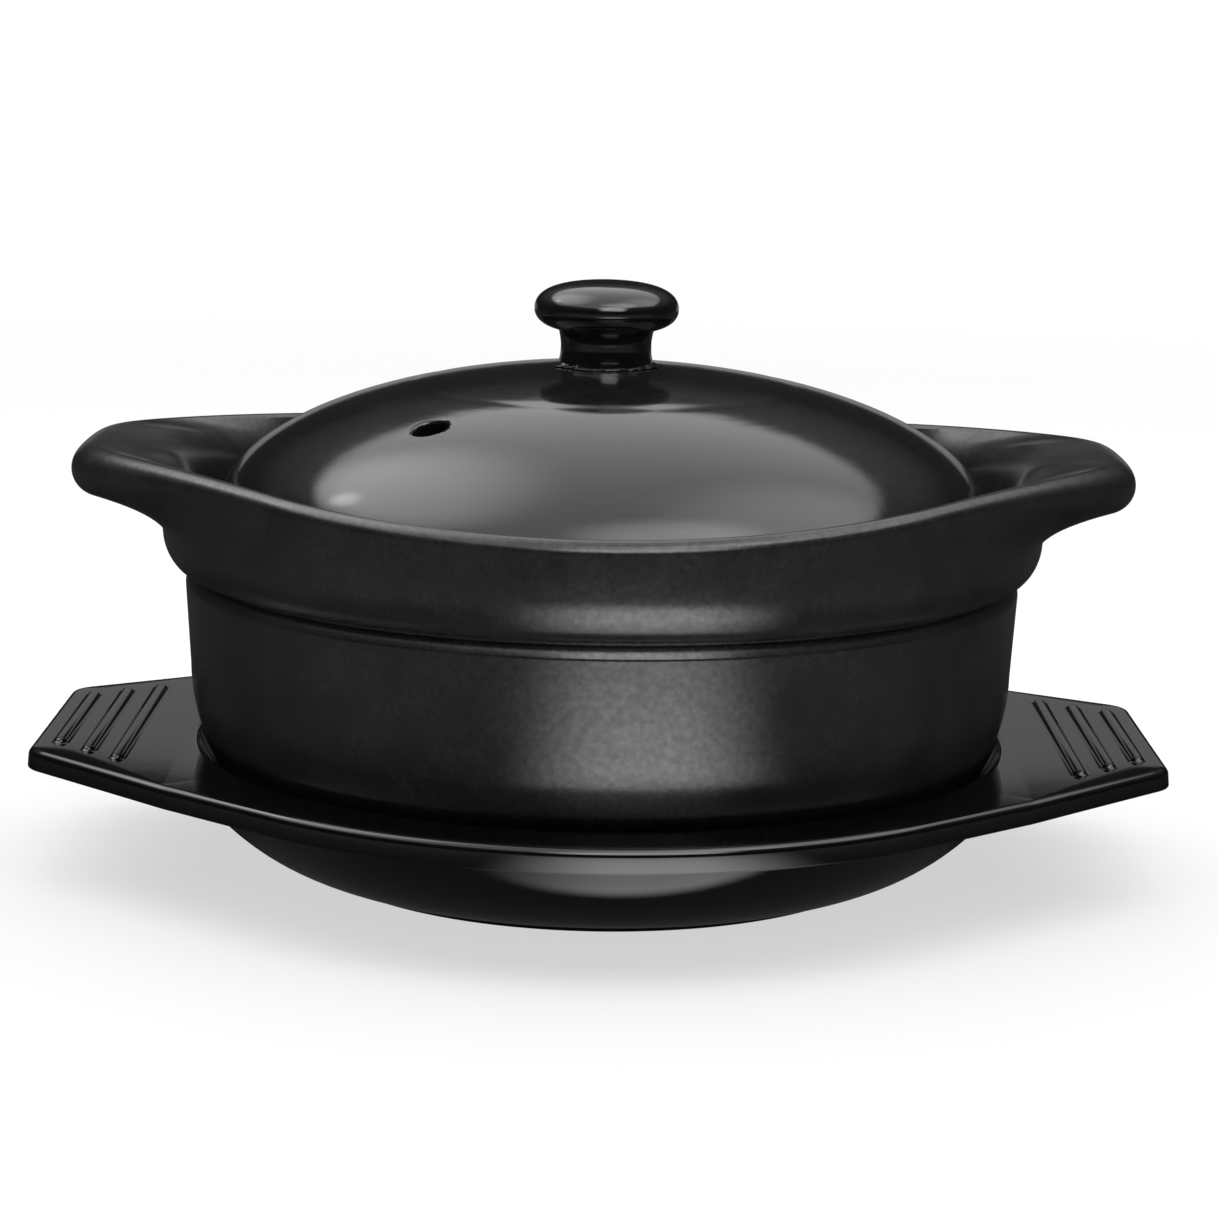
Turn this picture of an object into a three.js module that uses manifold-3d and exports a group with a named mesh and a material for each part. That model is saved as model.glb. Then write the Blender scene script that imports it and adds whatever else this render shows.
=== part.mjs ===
// Stoneware casserole with a lift-off domed lid, standing in a moulded serving tray.
// Millimetres, +Z up. The origin is on the table, under the middle of the tray.

import * as THREE from 'three';
import { mergeVertices } from 'three/addons/utils/BufferGeometryUtils.js';
import Module from 'manifold-3d';

const wasm = await Module();
wasm.setup();

// Clearances between pieces
const SEAT_GAP = 0.3;
const WELL_CLEARANCE = 2.6;
const LID_CLEARANCE = 2.2;

// Pot body
const BODY_RADIUS = 86.9;
const WALL_DRAFT = 1.0;
const HEEL_WIDTH = 26;
const HEEL_HEIGHT = 32.5;
const SHOULDER_HEIGHT = 51.6;
const WALL_THICKNESS = 9.8;
const BASE_THICKNESS = 7.5;
const BASE_RING_WIDTH = 9;
const BASE_RECESS = 1.2;

// Shoulder groove and collar
const GROOVE_DEPTH = 1.5;
const GROOVE_HEIGHT = 1;
const SHOULDER_ROUND = 0.9;
const COLLAR_OVERHANG = 4.7;
const COLLAR_ROUND_HEIGHT = 8.4;

// Rim and the two lug handles drawn out of it
const RIM_RISE = 11.5;
const RIM_THICKNESS = 5.2;
const RIM_INNER_TURN = THREE.MathUtils.degToRad(136);
const LUG_REACH = 18.15;
const LUG_THICKNESS = 10.2;
const LUG_RISE = 6;
const LUG_ROOT_RISE = 3;
const LUG_FLANK_ANGLE = THREE.MathUtils.degToRad(46);
const LUG_CORNER_SHARPNESS = 30;
const LUG_UNDERSIDE_TURN = THREE.MathUtils.degToRad(78);
const LUG_INNER_TURN = THREE.MathUtils.degToRad(98);
const LUG_SHELF_DROP = 1.2;

// Gallery that carries the lid
const GALLERY_WALL = 8.4;
const GALLERY_DEPTH = 9.8;
const GALLERY_FLARE = 2.6;
const GALLERY_LIP_DROP = 2.4;
const LEDGE_WIDTH = 6.2;
const LEDGE_ROUND = 1.2;

// Lid
const LID_RISE = 31.85;
const LID_THICKNESS = 5.5;
const LID_LAND_WIDTH = 6;
const LID_EDGE_ROUND = 1.4;
const VENT_DIAMETER = 7;
const VENT_INSET = 26.6;
const VENT_ANGLE = THREE.MathUtils.degToRad(-129);

// Knob
const KNOB_DIAMETER = 30;
const KNOB_NECK_DIAMETER = 18.8;
const KNOB_NECK_FLARE = 0.5;
const KNOB_NECK_HEIGHT = 7.2;
const KNOB_FOOT_EDGE = 0.3;
const KNOB_HEAD_HEIGHT = 10.2;
const KNOB_HEAD_UNDERCUT = 4.4;
const KNOB_UNDERCUT_SWEEP = 1.2;

// Serving tray
const TRAY_HEIGHT = 26.8;
const TRAY_FLOOR_HEIGHT = 10;
const TRAY_FLOOR_THICKNESS = 4.2;
const TRAY_WALL = 5;
const WELL_LIP_ROUND = 1.2;
const FLANGE_WIDTH = 13.8;
const FLANGE_THICKNESS = 4.2;
const FLANGE_ROUND = 1.7;
const FLANGE_ROOT = 0.6;
const WING_REACH = 18.6;
const WING_FLANK_ANGLE = THREE.MathUtils.degToRad(50);
const WING_CORNER_RADIUS = 7;
const WING_LIFT = 1.2;
const BELLY_WIDTH = 17;
const BELLY_HEIGHT = 3;
const FOOT_INSET = 0.9;
const FOOT_WIDTH = 5;
const FOOT_ROUND = 1;

// Grip ribs on the wings
const RIB_COUNT = 3;
const RIB_PITCH = 6.6;
const RIB_WIDTH = 2.8;
const RIB_HEIGHT = 0.9;
const RIB_ROUND = 0.72;
const RIB_ROOT = 0.6;
const RIB_END_MARGIN = 6;
const RIB_FLANK_MARGIN = 11.2;

// Facets round the axis and along the curves of a section
const POT_SEGMENTS = 72;
const ROUND_SEGMENTS = 56;
const KNOB_SEGMENTS = 32;
const VENT_SEGMENTS = 24;
const HEEL_STEPS = 6;
const DOME_STEPS = 10;
const EDGE_STEPS = 7;
const CURVE_STEPS = 4;
const FILLET_STEPS = 3;

// Heights and radii that follow from the sizes above
const POT_BASE = TRAY_FLOOR_HEIGHT + SEAT_GAP;
const BASE_RADIUS = BODY_RADIUS - WALL_DRAFT - HEEL_WIDTH;
const HEEL_TOP = POT_BASE + HEEL_HEIGHT;
const SHOULDER_Z = POT_BASE + SHOULDER_HEIGHT;
const GROOVE_RADIUS = BODY_RADIUS - GROOVE_DEPTH;
const COLLAR_RADIUS = BODY_RADIUS + COLLAR_OVERHANG;
const COLLAR_TOP = SHOULDER_Z + GROOVE_HEIGHT + COLLAR_ROUND_HEIGHT;
const RIM_Z = COLLAR_TOP + RIM_RISE;
const LEDGE_Z = RIM_Z - GALLERY_DEPTH;
const GALLERY_RADIUS = COLLAR_RADIUS - GALLERY_WALL;
const LEDGE_RADIUS = GALLERY_RADIUS - LEDGE_WIDTH;
const LID_RADIUS = GALLERY_RADIUS - LID_CLEARANCE;
const LID_BASE = LEDGE_Z + SEAT_GAP;
const LID_TOP = LID_BASE + LID_RISE;
const WELL_WALL = heelSection(WELL_CLEARANCE, TRAY_FLOOR_HEIGHT, TRAY_HEIGHT - WELL_LIP_ROUND);
const WELL_RADIUS = WELL_WALL.at(-1).x;
const WING_START = WELL_RADIUS + WELL_LIP_ROUND;
const FLANGE_RADIUS = WELL_RADIUS + FLANGE_WIDTH;
const FLANGE_BOTTOM = TRAY_HEIGHT - FLANGE_THICKNESS;
const TRAY_HALF_LENGTH = FLANGE_RADIUS + WING_REACH;
const FOOT_RADIUS = BASE_RADIUS - FOOT_INSET;

/** One point of a section, radius across and height up. */
function at(radius, height) {
  return new THREE.Vector2(radius, height);
}

/** Points of an elliptical arc in a section. */
function arc(radius, height, width, rise, from, to, steps) {
  return new THREE.EllipseCurve(radius, height, width, rise, from, to, to < from).getPoints(steps);
}

/** Points of a curve that leaves one point towards a second and arrives from it at a third. */
function bend(from, towards, to, steps) {
  return new THREE.QuadraticBezierCurve(from, towards, to).getPoints(steps);
}

/** Closed solid from a geometry whose seams and poles are welded. */
function solidOf(geometry) {
  const bare = geometry.clone();
  bare.deleteAttribute('normal');
  bare.deleteAttribute('uv');
  const welded = mergeVertices(bare, 1e-4);
  const corners = welded.index.array;
  const kept = [];
  for (let i = 0; i < corners.length; i += 3) {
    const [a, b, c] = corners.slice(i, i + 3);
    if (a !== b && b !== c && c !== a) {
      kept.push(a, b, c);
    }
  }
  return new wasm.Manifold(new wasm.Mesh({
    numProp: 3,
    vertProperties: new Float32Array(welded.attributes.position.array),
    triVerts: new Uint32Array(kept),
  }));
}

/** Geometry of a finished solid. */
function geometryOf(solid) {
  const mesh = solid.getMesh();
  const geometry = new THREE.BufferGeometry();
  geometry.setAttribute('position', new THREE.BufferAttribute(mesh.vertProperties, 3));
  geometry.setIndex(new THREE.BufferAttribute(mesh.triVerts, 1));
  geometry.computeVertexNormals();
  return geometry;
}

/** Solid of revolution about +Z; the section runs from the axis at the bottom to the axis at the top. */
function revolve(section, segments) {
  return solidOf(new THREE.LatheGeometry(section, segments).rotateX(Math.PI / 2));
}

/** Solid lofted round +Z through sections at rising angles, each closed on the axis or on itself. */
function loftRound(stations) {
  const places = [];
  const corners = [];
  const rings = stations[0].section.length;
  for (const { angle, section } of stations) {
    for (const point of section) {
      places.push(point.x * Math.cos(angle), point.x * Math.sin(angle), point.y);
    }
  }
  for (let turn = 0; turn < stations.length; turn += 1) {
    const here = turn * rings;
    const next = ((turn + 1) % stations.length) * rings;
    for (let i = 0; i + 1 < rings; i += 1) {
      corners.push(here + i, next + i, next + i + 1);
      corners.push(here + i, next + i + 1, here + i + 1);
    }
  }
  const geometry = new THREE.BufferGeometry();
  geometry.setAttribute('position', new THREE.Float32BufferAttribute(places, 3));
  geometry.setIndex(corners);
  return solidOf(geometry);
}

/** Pot's outer base and heel up to a height, moved outwards by a clearance. */
function heelSection(clearance, floor, top) {
  const rise = HEEL_TOP - floor;
  const reached = Math.min(1, (top - floor) / rise);
  const end = Math.asin(reached - 1);
  const heel = arc(BASE_RADIUS, HEEL_TOP, HEEL_WIDTH + clearance, rise, -Math.PI / 2, end, HEEL_STEPS);
  return [at(0, floor), ...heel];
}

/** Radius of the rim's outer edge at an angle: a round rim with two trapezoid lugs drawn out of it. */
function rimReach(angle) {
  const turn = Math.acos(Math.abs(Math.cos(angle)));
  if (turn >= LUG_FLANK_ANGLE) {
    return COLLAR_RADIUS;
  }
  const flank = COLLAR_RADIUS / Math.cos(LUG_FLANK_ANGLE - turn);
  const end = (COLLAR_RADIUS + LUG_REACH) / Math.cos(turn);
  const sum = flank ** -LUG_CORNER_SHARPNESS + end ** -LUG_CORNER_SHARPNESS;
  return sum ** (-1 / LUG_CORNER_SHARPNESS);
}

/** How far the rim is drawn out into a lug at an angle, from 0 to 1. */
function lugShare(angle) {
  return Math.min(1, (rimReach(angle) - COLLAR_RADIUS) / LUG_REACH);
}

/** Round edge of the rim at an angle: thin on the round part, thick and raised where a lug is drawn out. */
function rimEdge(angle) {
  const reach = rimReach(angle);
  const lug = lugShare(angle);
  const crest = RIM_Z + LUG_RISE * Math.cos(angle) ** 2;
  const round = THREE.MathUtils.lerp(RIM_THICKNESS, LUG_THICKNESS, lug) / 2;
  const innerTurn = THREE.MathUtils.lerp(RIM_INNER_TURN, LUG_INNER_TURN, lug);
  return arc(reach - round, crest - round, round, round, -LUG_UNDERSIDE_TURN * lug, innerTurn, EDGE_STEPS);
}

/** Pot section at an angle, from the axis under the base round the rim to the axis on the floor. */
function potSection(angle) {
  const ring = BASE_RADIUS - BASE_RING_WIDTH;
  const edge = rimEdge(angle);
  const root = at(COLLAR_RADIUS, COLLAR_TOP);
  const sweep = at(COLLAR_RADIUS, Math.min(COLLAR_TOP + LUG_ROOT_RISE, edge[0].y));
  const heelWidth = HEEL_WIDTH - WALL_THICKNESS;
  const floor = POT_BASE + BASE_THICKNESS;
  const shelf = edge.at(-1).y - LUG_SHELF_DROP;
  const lipZ = THREE.MathUtils.lerp(RIM_Z - GALLERY_LIP_DROP, shelf, lugShare(angle));
  return [
    at(0, POT_BASE + BASE_RECESS),
    at(ring - BASE_RECESS, POT_BASE + BASE_RECESS),
    at(ring, POT_BASE),
    ...heelSection(0, POT_BASE, HEEL_TOP).slice(1),
    at(BODY_RADIUS, SHOULDER_Z - SHOULDER_ROUND),
    at(BODY_RADIUS - SHOULDER_ROUND, SHOULDER_Z),
    at(GROOVE_RADIUS, SHOULDER_Z + GROOVE_HEIGHT / 2),
    ...arc(GROOVE_RADIUS, COLLAR_TOP, COLLAR_RADIUS - GROOVE_RADIUS, COLLAR_ROUND_HEIGHT, -Math.PI / 2, 0, 4),
    ...bend(root, sweep, edge[0], 4).slice(1, -1),
    ...edge,
    at(GALLERY_RADIUS + GALLERY_FLARE, lipZ),
    at(GALLERY_RADIUS, LEDGE_Z + LEDGE_ROUND),
    at(GALLERY_RADIUS - LEDGE_ROUND, LEDGE_Z),
    at(LEDGE_RADIUS + LEDGE_ROUND, LEDGE_Z),
    at(LEDGE_RADIUS, LEDGE_Z - LEDGE_ROUND),
    ...arc(BASE_RADIUS, HEEL_TOP, heelWidth, HEEL_TOP - floor, 0, -Math.PI / 2, HEEL_STEPS),
    at(0, floor),
  ];
}

/** Pot with its collar, gallery and both lugs in one fired body. */
function makePot() {
  const stations = [];
  for (let turn = 0; turn < POT_SEGMENTS; turn += 1) {
    const angle = (turn / POT_SEGMENTS) * 2 * Math.PI;
    stations.push({ angle, section: potSection(angle) });
  }
  return loftRound(stations);
}

/** Height of the lid's outer dome over a radius. */
function domeHeight(radius) {
  return LID_BASE + LID_RISE * Math.sqrt(1 - (radius / LID_RADIUS) ** 2);
}

/** Domed lid with a flat land at its edge and one steam hole square to the dome. */
function makeLid() {
  const hollow = LID_RADIUS - LID_LAND_WIDTH;
  const start = Math.asin(LID_EDGE_ROUND / LID_RISE);
  const dome = revolve([
    ...arc(0, LID_BASE, hollow, LID_RISE - LID_THICKNESS, Math.PI / 2, 0, DOME_STEPS),
    at(LID_RADIUS - LID_EDGE_ROUND, LID_BASE),
    ...arc(0, LID_BASE, LID_RADIUS, LID_RISE, start, Math.PI / 2, DOME_STEPS),
  ], ROUND_SEGMENTS);
  const ventRadius = LID_RADIUS - VENT_INSET;
  const slope = Math.atan2(LID_RISE * ventRadius, LID_RADIUS * Math.sqrt(LID_RADIUS ** 2 - ventRadius ** 2));
  const cut = 2 * LID_THICKNESS + 2 * VENT_DIAMETER;
  const drill = new THREE.CylinderGeometry(VENT_DIAMETER / 2, VENT_DIAMETER / 2, cut, VENT_SEGMENTS);
  drill.rotateX(Math.PI / 2);
  drill.rotateY(slope);
  drill.translate(ventRadius, 0, domeHeight(ventRadius) - LID_THICKNESS / 2);
  drill.rotateZ(VENT_ANGLE);
  return dome.subtract(solidOf(drill));
}

/** Mushroom knob whose foot follows the dome that it is luted on. */
function makeKnob() {
  const neck = KNOB_NECK_DIAMETER / 2;
  const foot = neck + KNOB_NECK_FLARE;
  const head = KNOB_DIAMETER / 2;
  const footZ = domeHeight(foot) + SEAT_GAP;
  const neckTop = LID_TOP + KNOB_NECK_HEIGHT;
  const waist = neckTop + KNOB_HEAD_UNDERCUT;
  const top = neckTop + KNOB_HEAD_HEIGHT;
  const waistIn = at(neck - KNOB_NECK_FLARE, LID_TOP + KNOB_NECK_HEIGHT / 2);
  const sweep = at(head, neckTop + KNOB_UNDERCUT_SWEEP);
  return revolve([
    at(0, LID_TOP + SEAT_GAP),
    at(foot, footZ),
    ...bend(at(foot, footZ + KNOB_FOOT_EDGE), waistIn, at(foot, neckTop), CURVE_STEPS),
    ...bend(at(foot, neckTop), sweep, at(head, waist), CURVE_STEPS).slice(1),
    ...bend(at(head, waist), at(head, top), at(0, top), 2 * CURVE_STEPS).slice(1),
  ], KNOB_SEGMENTS);
}

/** How far the wings are turned up at a distance along the tray. */
function wingLift(x) {
  return WING_LIFT * Math.max(0, (Math.abs(x) - WING_START) / (TRAY_HALF_LENGTH - WING_START));
}

/** Half width of the tray where a wing's straight flank crosses x. */
function flankY(x) {
  return (FLANGE_RADIUS - x * Math.cos(WING_FLANK_ANGLE)) / Math.sin(WING_FLANK_ANGLE);
}

/** Plan of the tray: a round flange with two trapezoid wings whose flanks are tangent to it. */
function trayOutline() {
  const flank = WING_FLANK_ANGLE;
  const corner = WING_CORNER_RADIUS;
  const cornerX = TRAY_HALF_LENGTH - corner;
  const cornerY = flankY(cornerX) - corner / Math.sin(flank);
  const creaseY = flankY(WING_START);
  const outline = new THREE.Shape();
  outline.absarc(cornerX, cornerY, corner, 0, flank);
  outline.lineTo(WING_START, creaseY);
  outline.absarc(0, 0, FLANGE_RADIUS, flank, Math.PI - flank);
  outline.lineTo(-WING_START, creaseY);
  outline.absarc(-cornerX, cornerY, corner, Math.PI - flank, Math.PI);
  outline.absarc(-cornerX, -cornerY, corner, Math.PI, Math.PI + flank);
  outline.lineTo(-WING_START, -creaseY);
  outline.absarc(0, 0, FLANGE_RADIUS, Math.PI + flank, 2 * Math.PI - flank);
  outline.lineTo(WING_START, -creaseY);
  outline.absarc(cornerX, -cornerY, corner, 2 * Math.PI - flank, 2 * Math.PI);
  outline.closePath();
  return outline;
}

/** Closed section of the flange towards one point of its plan, with the wing's crease and lift. */
function flangeSection(angle, reach) {
  const inner = WELL_RADIUS - TRAY_WALL;
  const flat = reach - FLANGE_ROUND;
  const crease = Math.min(flat, WING_START / Math.abs(Math.cos(angle)));
  const lower = FLANGE_BOTTOM + FLANGE_ROUND;
  const upper = TRAY_HEIGHT - FLANGE_ROUND;
  const section = [
    at(inner, FLANGE_BOTTOM),
    at(crease, FLANGE_BOTTOM),
    ...arc(flat, lower, FLANGE_ROUND, FLANGE_ROUND, -Math.PI / 2, 0, FILLET_STEPS),
    ...arc(flat, upper, FLANGE_ROUND, FLANGE_ROUND, 0, Math.PI / 2, FILLET_STEPS),
    at(crease, TRAY_HEIGHT),
    at(inner, TRAY_HEIGHT),
    at(inner, FLANGE_BOTTOM),
  ];
  return section.map((point) => at(point.x, point.y + wingLift(point.x * Math.cos(angle))));
}

/** Raised grip rib with round ends, lying across a wing and rooted in it. */
function makeRib(x, halfLength) {
  const end = RIB_WIDTH / 2;
  const outline = new THREE.Shape();
  outline.absarc(x, halfLength - end, end, 0, Math.PI);
  outline.absarc(x, end - halfLength, end, Math.PI, 2 * Math.PI);
  outline.closePath();
  const rib = new THREE.ExtrudeGeometry(outline, {
    depth: RIB_ROOT + RIB_HEIGHT - RIB_ROUND,
    bevelEnabled: true,
    bevelThickness: RIB_ROUND,
    bevelSize: RIB_ROUND,
    bevelOffset: -RIB_ROUND,
    bevelSegments: FILLET_STEPS - 1,
    curveSegments: CURVE_STEPS,
  });
  rib.translate(0, 0, TRAY_HEIGHT - RIB_ROOT);
  const place = rib.attributes.position;
  for (let i = 0; i < place.count; i += 1) {
    place.setZ(i, place.getZ(i) + wingLift(place.getX(i)));
  }
  return solidOf(rib);
}

/** Serving tray: winged flange, well that follows the pot's heel, bowl on a foot ring, ribbed grips. */
function makeTray() {
  const plan = trayOutline().getPoints(EDGE_STEPS).slice(0, -1);
  const flange = loftRound(plan.map((point) => {
    const angle = point.angle();
    return { angle, section: flangeSection(angle, point.length()) };
  }));
  const bowlEdge = at(WELL_RADIUS + TRAY_WALL, FLANGE_BOTTOM + FLANGE_ROOT);
  const bowl = revolve([
    at(0, 0),
    at(FOOT_RADIUS - FOOT_ROUND, 0),
    ...bend(at(FOOT_RADIUS, FOOT_ROUND), at(FOOT_RADIUS + BELLY_WIDTH, BELLY_HEIGHT), bowlEdge, EDGE_STEPS),
    at(0, FLANGE_BOTTOM + FLANGE_ROOT),
  ], ROUND_SEGMENTS);
  const well = revolve([
    ...WELL_WALL,
    at(WELL_RADIUS + WELL_LIP_ROUND, TRAY_HEIGHT),
    at(WELL_RADIUS + WELL_LIP_ROUND, TRAY_HEIGHT + WELL_LIP_ROUND),
    at(0, TRAY_HEIGHT + WELL_LIP_ROUND),
  ], ROUND_SEGMENTS);
  const footBore = FOOT_RADIUS - FOOT_WIDTH;
  const recessTop = TRAY_FLOOR_HEIGHT - TRAY_FLOOR_THICKNESS;
  const recess = revolve([
    at(0, -FOOT_ROUND),
    at(footBore + FOOT_ROUND, -FOOT_ROUND),
    at(footBore, FOOT_ROUND),
    at(footBore, recessTop - FOOT_ROUND),
    at(footBore - FOOT_ROUND, recessTop),
    at(0, recessTop),
  ], ROUND_SEGMENTS);
  let tray = flange.add(bowl).subtract(well).subtract(recess);
  for (const side of [-1, 1]) {
    for (let i = 0; i < RIB_COUNT; i += 1) {
      const x = TRAY_HALF_LENGTH - RIB_END_MARGIN - i * RIB_PITCH;
      tray = tray.add(makeRib(side * x, flankY(x) - RIB_FLANK_MARGIN));
    }
  }
  return tray;
}

/** Named piece with its own finish. */
function piece(name, solid, color, roughness) {
  const material = new THREE.MeshStandardMaterial({ color, roughness, metalness: 0 });
  const mesh = new THREE.Mesh(geometryOf(solid), material);
  mesh.name = name;
  return mesh;
}

const covered = new THREE.Group();
covered.add(piece('lid', makeLid(), 0x1d1e1f, 0.16));
covered.add(piece('knob', makeKnob(), 0x161717, 0.12));

const casserole = new THREE.Group();
casserole.add(piece('tray', makeTray(), 0x141516, 0.1));
casserole.add(piece('pot', makePot(), 0x1f2021, 0.42));
casserole.add(covered);

export default casserole;
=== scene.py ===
"""Looks of a black stoneware casserole in its serving tray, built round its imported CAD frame."""

import logging
import math
from abc import ABC, abstractmethod
from collections.abc import Callable
from dataclasses import dataclass, field
from enum import Enum
from typing import ClassVar

import bmesh
import bpy
from mathutils import Matrix, Vector


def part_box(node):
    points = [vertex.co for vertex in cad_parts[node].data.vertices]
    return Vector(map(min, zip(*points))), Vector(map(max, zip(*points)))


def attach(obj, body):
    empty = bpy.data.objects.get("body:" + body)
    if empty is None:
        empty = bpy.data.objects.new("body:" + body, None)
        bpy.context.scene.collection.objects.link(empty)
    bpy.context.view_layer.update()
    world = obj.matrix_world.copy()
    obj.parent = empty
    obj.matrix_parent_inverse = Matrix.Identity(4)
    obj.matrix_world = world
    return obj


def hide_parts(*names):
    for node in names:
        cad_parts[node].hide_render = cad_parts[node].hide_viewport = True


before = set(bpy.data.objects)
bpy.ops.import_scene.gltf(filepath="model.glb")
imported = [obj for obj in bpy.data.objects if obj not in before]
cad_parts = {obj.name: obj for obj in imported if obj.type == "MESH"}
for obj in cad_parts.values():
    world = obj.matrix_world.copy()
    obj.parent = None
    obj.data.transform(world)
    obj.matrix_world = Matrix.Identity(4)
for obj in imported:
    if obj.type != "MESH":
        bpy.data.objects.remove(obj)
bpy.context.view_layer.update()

LOG = logging.getLogger("casserole")
MM = 0.001
FULL_TURN = 2.0 * math.pi
QUARTER = math.pi / 2.0

Point = tuple[float, float]
Section = list[Point]
Colour = tuple[float, float, float]
Socket = bpy.types.NodeSocket
Mesh = bmesh.types.BMesh


class Body(Enum):
    """CAD bodies that the pieces ride on."""

    TRAY = "tray"
    POT = "pot"
    LID = "lid"


class Slot(Enum):
    """Material slots of the record."""

    TRAY = "tray"
    POT = "pot"
    LID = "lid"
    KNOB = "knob"


class Sight(Enum):
    """Rays that a studio object answers to."""

    LIGHT = "light"
    REFLECTIONS = "reflections"

    def limit(self, shown: bpy.types.Object) -> None:
        """Hides a studio object from the camera and from the rays that it isn't for.

        Args:
            shown: Lamp, card or cloth of the studio.
        """
        shown.visible_camera = False
        shown.visible_transmission = False
        shown.visible_volume_scatter = False
        shown.visible_diffuse = self is Sight.LIGHT
        shown.visible_shadow = self is Sight.LIGHT
        shown.visible_glossy = self is Sight.REFLECTIONS


def mix(low: float, high: float, share: float) -> float:
    """Value between low and high at a share from 0 to 1."""
    return low + (high - low) * share


def arc(centre: Point, radii: Point, start: float, end: float, steps: int) -> Section:
    """Points of an elliptical arc in a section.

    Args:
        centre: Radius and height of the ellipse's middle.
        radii: Half width and half height.
        start: First angle in radians.
        end: Last angle in radians.
        steps: Number of chords.

    Returns:
        The arc's points, both ends included.
    """
    turns = [mix(start, end, step / steps) for step in range(steps + 1)]
    return [(centre[0] + radii[0] * math.cos(t), centre[1] + radii[1] * math.sin(t)) for t in turns]


def bend(start: Point, towards: Point, end: Point, steps: int) -> Section:
    """Points of a curve that leaves start towards a point and arrives from it at end.

    Args:
        start: First point.
        towards: Point that both end tangents meet in.
        end: Last point.
        steps: Number of chords.

    Returns:
        The curve's points, both ends included.
    """
    points = []
    for step in range(steps + 1):
        share = step / steps
        first = [mix(a, b, share) for a, b in zip(start, towards)]
        second = [mix(a, b, share) for a, b in zip(towards, end)]
        points.append((mix(first[0], second[0], share), mix(first[1], second[1], share)))
    return points


def softened(before: Point, corner: Point, after: Point, reach: float, steps: int = 5) -> Section:
    """Rounded corner of a section.

    Args:
        before: Point that the section comes from.
        corner: Sharp corner.
        after: Point that the section goes to.
        reach: Length of each side that the rounding takes.
        steps: Number of chords.

    Returns:
        The rounding's points, both ends included.
    """
    tip = Vector(corner)
    start = tip + (Vector(before) - tip).normalized() * reach
    end = tip + (Vector(after) - tip).normalized() * reach
    return bend((start.x, start.y), corner, (end.x, end.y), steps)


def spun(section: Section, steps: int, closed: bool = False) -> Mesh:
    """Solid of revolution about +Z whose vertices keep their section point's number.

    Args:
        section: Points as radius and height.
        steps: Number of steps in the full turn.
        closed: Whether the section is a loop of its own instead of running from axis to axis.

    Returns:
        The welded mesh, with the integer vertex layer "station".
    """
    mesh = bmesh.new()
    station = mesh.verts.layers.int.new("station")
    corners = []
    for number, (radius, height) in enumerate(section):
        corner = mesh.verts.new((radius, 0.0, height))
        corner[station] = number
        corners.append(corner)
    edges = [mesh.edges.new(pair) for pair in zip(corners, corners[1:])]
    if closed:
        edges.append(mesh.edges.new((corners[-1], corners[0])))
    bmesh.ops.spin(
        mesh,
        geom=corners + edges,
        cent=(0.0, 0.0, 0.0),
        axis=(0.0, 0.0, 1.0),
        angle=FULL_TURN,
        steps=steps,
        use_merge=True,
    )
    weld(mesh)
    return mesh


def weld(mesh: Mesh) -> None:
    """Merges doubled vertices and turns every face outwards."""
    bmesh.ops.remove_doubles(mesh, verts=mesh.verts, dist=1e-7)
    bmesh.ops.recalc_face_normals(mesh, faces=mesh.faces)


def linked(name: str, mesh: Mesh) -> bpy.types.Object:
    """Puts a finished mesh into the scene.

    Args:
        name: Name of the object and its mesh.
        mesh: The mesh, which is freed.

    Returns:
        The object, at the origin.
    """
    data = bpy.data.meshes.new(name)
    mesh.to_mesh(data)
    mesh.free()
    made = bpy.data.objects.new(name, data)
    bpy.context.scene.collection.objects.link(made)
    return made


def shape_round(mesh: Mesh, section_at: Callable[[float], Section]) -> None:
    """Moves a spun mesh on to a section that changes with the angle.

    Args:
        mesh: Result of spun(), made from one of the sections.
        section_at: Gives the section at an angle, always with the same number of points.
    """
    station = mesh.verts.layers.int["station"]
    known: dict[float, Section] = {}
    for vert in mesh.verts:
        if vert.co.xy.length < 1e-9:
            continue
        angle = math.atan2(vert.co.y, vert.co.x)
        key = round(angle, 6)
        if key not in known:
            known[key] = section_at(angle)
        radius, height = known[key][vert[station]]
        vert.co = (radius * math.cos(angle), radius * math.sin(angle), height)
    bmesh.ops.recalc_face_normals(mesh, faces=mesh.faces)


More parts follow.
